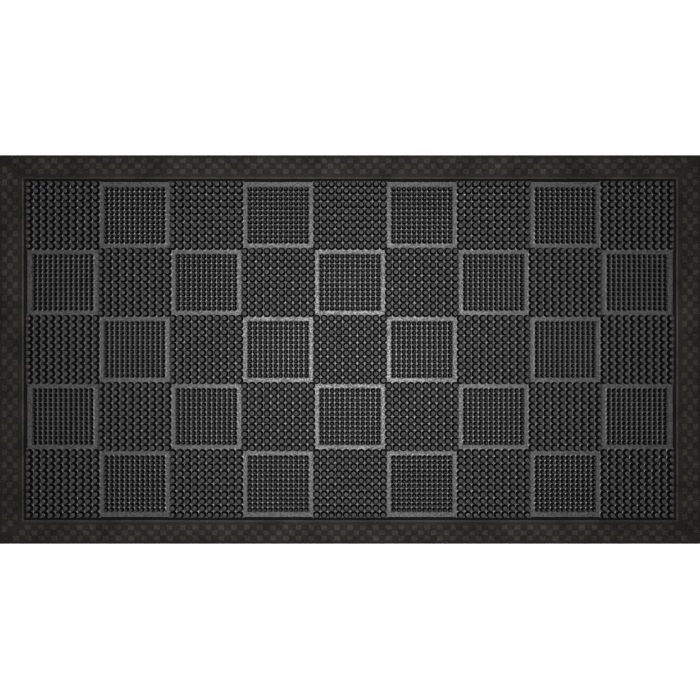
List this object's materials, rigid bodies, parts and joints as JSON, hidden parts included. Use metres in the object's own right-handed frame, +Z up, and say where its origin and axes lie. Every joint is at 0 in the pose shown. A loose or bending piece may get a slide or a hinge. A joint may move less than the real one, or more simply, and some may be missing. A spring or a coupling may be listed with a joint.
{
  "type": "door mat",
  "caption": "Flat rectangular black rubber door mat: a chequered field of domed studs and fine pins inside a bevelled, mitred border with a relief of small squares.",
  "frame": {"origin": "on the floor, under the middle of the mat", "axes": "+X along the mat's long side, +Y across it towards its back edge, +Z up from the floor"},
  "size_m": [0.7, 0.388, 0.007],
  "materials": {
    "sheet_rubber": "matt",
    "border_rubber": "matt",
    "stud_rubber": "satin",
    "pin_rubber": "satin"
  },
  "bodies": {
    "root": {"base_sheet": "sheet_rubber", "rail_front": "border_rubber", "rail_back": "border_rubber", "rail_left": "border_rubber", "rail_right": "border_rubber", "stud_tile_r1c1": "stud_rubber", "pin_tile_r1c2": "pin_rubber", "stud_tile_r1c3": "stud_rubber", "pin_tile_r1c4": "pin_rubber", "stud_tile_r1c5": "stud_rubber", "pin_tile_r1c6": "pin_rubber", "stud_tile_r1c7": "stud_rubber", "pin_tile_r1c8": "pin_rubber", "stud_tile_r1c9": "stud_rubber", "pin_tile_r2c1": "pin_rubber", "stud_tile_r2c2": "stud_rubber", "pin_tile_r2c3": "pin_rubber", "stud_tile_r2c4": "stud_rubber", "pin_tile_r2c5": "pin_rubber", "stud_tile_r2c6": "stud_rubber", "pin_tile_r2c7": "pin_rubber", "stud_tile_r2c8": "stud_rubber", "pin_tile_r2c9": "pin_rubber", "stud_tile_r3c1": "stud_rubber", "pin_tile_r3c2": "pin_rubber", "stud_tile_r3c3": "stud_rubber", "pin_tile_r3c4": "pin_rubber", "stud_tile_r3c5": "stud_rubber", "pin_tile_r3c6": "pin_rubber", "stud_tile_r3c7": "stud_rubber", "pin_tile_r3c8": "pin_rubber", "stud_tile_r3c9": "stud_rubber", "pin_tile_r4c1": "pin_rubber", "stud_tile_r4c2": "stud_rubber", "pin_tile_r4c3": "pin_rubber", "stud_tile_r4c4": "stud_rubber", "pin_tile_r4c5": "pin_rubber", "stud_tile_r4c6": "stud_rubber", "pin_tile_r4c7": "pin_rubber", "stud_tile_r4c8": "stud_rubber", "pin_tile_r4c9": "pin_rubber", "stud_tile_r5c1": "stud_rubber", "pin_tile_r5c2": "pin_rubber", "stud_tile_r5c3": "stud_rubber", "pin_tile_r5c4": "pin_rubber", "stud_tile_r5c5": "stud_rubber", "pin_tile_r5c6": "pin_rubber", "stud_tile_r5c7": "stud_rubber", "pin_tile_r5c8": "pin_rubber", "stud_tile_r5c9": "stud_rubber"}
  },
  "joints": []
}
